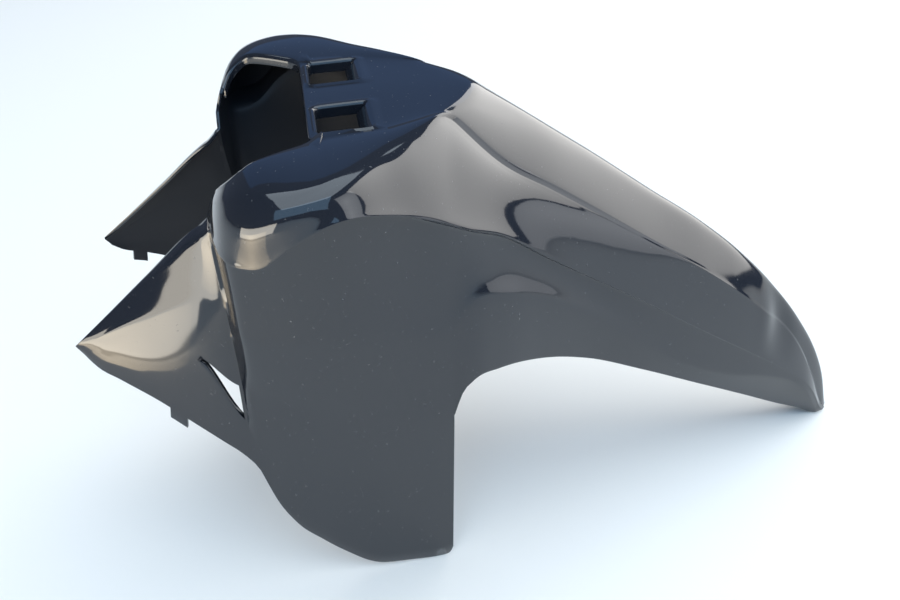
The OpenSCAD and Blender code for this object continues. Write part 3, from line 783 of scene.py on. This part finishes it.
def bumped(mat, source, strength, distance):
    """Surface directions that follow the source as a height."""
    node = mat.node_tree.nodes.new("ShaderNodeBump")
    node.inputs["Strength"].default_value = strength
    node.inputs["Distance"].default_value = distance
    mat.node_tree.links.new(source, node.inputs["Height"])
    return node.outputs["Normal"]


def maths(mat, operation, source, factor, added=None):
    """The source times the factor, with another source added where the operation takes one."""
    node = mat.node_tree.nodes.new("ShaderNodeMath")
    node.operation = operation
    mat.node_tree.links.new(source, node.inputs[0])
    node.inputs[1].default_value = factor
    if added is not None:
        mat.node_tree.links.new(added, node.inputs[2])
    return node.outputs["Value"]


def gloss_black():
    """Polished black plastic: a deep clear gloss, faintly rippled and hazed, with a little dust."""
    mat, skin = material("gloss_black_plastic")
    link = mat.node_tree.links.new
    skin.inputs["IOR"].default_value = 1.6
    specks = ranged(mat, noise(mat, scale=520, detail=3), from_min=0.70, from_max=0.76)
    haze = ranged(mat, noise(mat, scale=14, detail=5), to_min=0.03, to_max=0.085)
    link(maths(mat, "MULTIPLY_ADD", specks, 0.35, haze), skin.inputs["Roughness"])
    dust = maths(mat, "MULTIPLY", specks, 0.5)
    link(between(mat, dust, (0.012, 0.014, 0.019), (0.19, 0.19, 0.185)), skin.inputs["Base Color"])
    ripple = noise(mat, scale=38, detail=1)
    link(bumped(mat, ripple, strength=0.05, distance=0.0012), skin.inputs["Normal"])
    return mat


def satin_black():
    """The unpolished inner face of the moulding, with the fine grain that the mould leaves."""
    mat, skin = material("satin_black_plastic")
    link = mat.node_tree.links.new
    skin.inputs["IOR"].default_value = 1.5
    skin.inputs["Specular IOR Level"].default_value = 0.2
    cloud = noise(mat, scale=18, detail=2)
    link(between(mat, cloud, (0.010, 0.011, 0.014), (0.019, 0.020, 0.024)), skin.inputs["Base Color"])
    link(ranged(mat, cloud, to_min=0.38, to_max=0.52), skin.inputs["Roughness"])
    grain = noise(mat, scale=900, detail=2)
    link(bumped(mat, grain, strength=0.2, distance=0.0002), skin.inputs["Normal"])
    return mat


shell = build_shell()
shell.data.materials.append(gloss_black())
shell.data.materials.append(satin_black())
apply_modifier(
    shell, "SOLIDIFY", "wall", thickness=WALL * MM, offset=-1, material_offset=1, material_offset_rim=0)
apply_modifier(
    shell, "BEVEL", "rims", width=RIM_BEVEL * MM, segments=2, limit_method="ANGLE",
    angle_limit=math.radians(RIM_ANGLE))
bpy.ops.object.shade_smooth_by_angle(angle=math.radians(SMOOTH_ANGLE))
keep_inside(shell, shell_box)
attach(shell, "root")
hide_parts("mudguard_shell")

# Studio, in metres and degrees: pale floor, plain dim world, soft lamps and the photograph's camera
FLOOR_SIZE = 12
FLOOR_GAP = 0.0005
LAMP_AIM = (0, 0, 0.3)
HORN_AIM = (-0.2, -0.12, 0.27)
FLAP_AIM = (-0.25, -0.08, 0.15)
CAMERA_PLACE = (-0.1505, -0.5114, 0.5379)
CAMERA_PITCH = -35.487
CAMERA_TURN = -10.846
CAMERA_LENS = 34
CAMERA_SENSOR = 36


def studio():
    """The floor and the world."""
    bpy.ops.object.select_all(action="DESELECT")
    bpy.ops.mesh.primitive_plane_add(size=FLOOR_SIZE, location=(0, 0, shell_box[0][2] - FLOOR_GAP))
    floor = bpy.context.active_object
    floor.name = "floor"
    mat, skin = material("pale_floor")
    skin.inputs["Base Color"].default_value = (0.84, 0.81, 0.76, 1)
    skin.inputs["Roughness"].default_value = 0.9
    floor.data.materials.append(mat)
    world = bpy.data.worlds.new("plain_world")
    bpy.context.scene.world = world
    world.use_nodes = True
    background = world.node_tree.nodes["Background"]
    background.inputs["Color"].default_value = (0.09, 0.11, 0.16, 1)
    background.inputs["Strength"].default_value = 1


def soft_lamp(name, place, aim, size, power, colour, spread=180):
    """A rectangular lamp, width by height, with its power in watts and its spread in degrees."""
    data = bpy.data.lights.new(name, "AREA")
    data.shape = "RECTANGLE"
    data.size, data.size_y = size
    data.energy = power
    data.color = colour
    data.spread = math.radians(spread)
    lamp = bpy.data.objects.new(name, data)
    bpy.context.scene.collection.objects.link(lamp)
    lamp.location = place
    lamp.rotation_euler = (Vector(aim) - Vector(place)).to_track_quat("-Z", "Y").to_euler()


def camera():
    """The photograph's viewpoint, worked out from the mirrored pairs of edges that it shows."""
    data = bpy.data.cameras.new("photo_view")
    data.sensor_width = CAMERA_SENSOR
    data.lens = CAMERA_LENS
    view = bpy.data.objects.new("photo_view", data)
    bpy.context.scene.collection.objects.link(view)
    view.location = CAMERA_PLACE
    view.rotation_euler = (math.radians(90 + CAMERA_PITCH), 0, math.radians(CAMERA_TURN))
    bpy.context.scene.camera = view


studio()
soft_lamp("overhead", (0.5, 0, 4.3), (0.5, 0.4, 0), (5, 4.8), 190, (0.78, 0.90, 1))
soft_lamp("front_sky", (0.2, -3.3, 2.9), LAMP_AIM, (6, 4.2), 125, (0.38, 0.67, 1))
soft_lamp("nose_side", (3.53, 1.88, 1.8), LAMP_AIM, (6.8, 3.2), 135, (1, 0.98, 0.94), spread=120)
soft_lamp("nose_low", (3.7, -1.75, 1.3), LAMP_AIM, (1.7, 2.6), 5, (0.94, 0.97, 1), spread=70)
soft_lamp("sky_panel", (0, 3.6, 2.1), LAMP_AIM, (4, 2), 6, (0.12, 0.38, 1))
soft_lamp("low_left", (-0.85, -0.7, 0.16), FLAP_AIM, (0.9, 0.28), 5, (1, 0.93, 0.80))
soft_lamp("low_warm", (-0.62, -0.5, 0.1), HORN_AIM, (0.5, 0.17), 0.13, (1, 0.80, 0.52), spread=60)
camera()
bpy.context.scene.view_settings.view_transform = "Standard"
